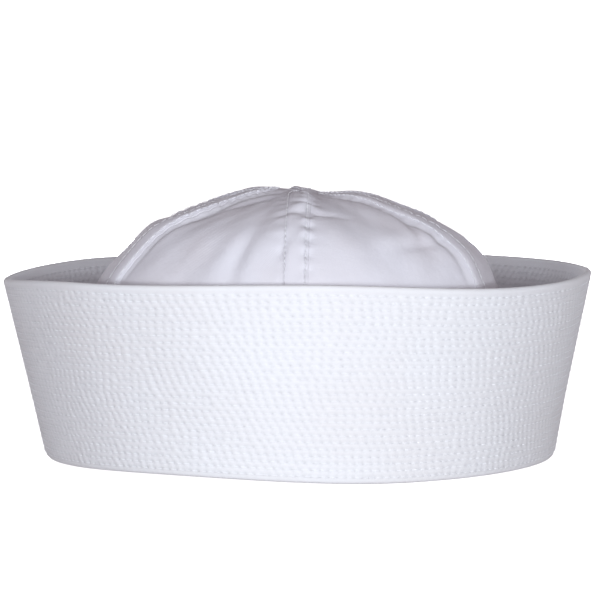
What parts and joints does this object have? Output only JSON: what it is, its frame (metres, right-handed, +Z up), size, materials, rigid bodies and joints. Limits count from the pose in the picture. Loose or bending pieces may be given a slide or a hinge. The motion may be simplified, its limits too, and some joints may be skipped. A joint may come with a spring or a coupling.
{
  "type": "sailor cap",
  "caption": "White cotton sailor's cap with a domed crown of sewn gores and a tall quilted brim turned up all the way round.",
  "frame": {"origin": "middle of the cap's foot, on the surface that it stands on", "axes": "+Z up, the front of the cap faces -Y, +X is to the right of a person who looks at its front, +Y is its length from front to back"},
  "size_m": [0.2249, 0.2385, 0.1022],
  "materials": {
    "brim_cotton": "matte white cotton twill, quilted with close rows of white stitching",
    "crown_cotton": "matte white cotton twill with felled seams"
  },
  "bodies": {
    "root": {"brim": "brim_cotton", "crown_gore_front_right": "crown_cotton", "crown_gore_right": "crown_cotton", "crown_gore_back_right": "crown_cotton", "crown_gore_back_left": "crown_cotton", "crown_gore_left": "crown_cotton", "crown_gore_front_left": "crown_cotton"}
  },
  "joints": []
}
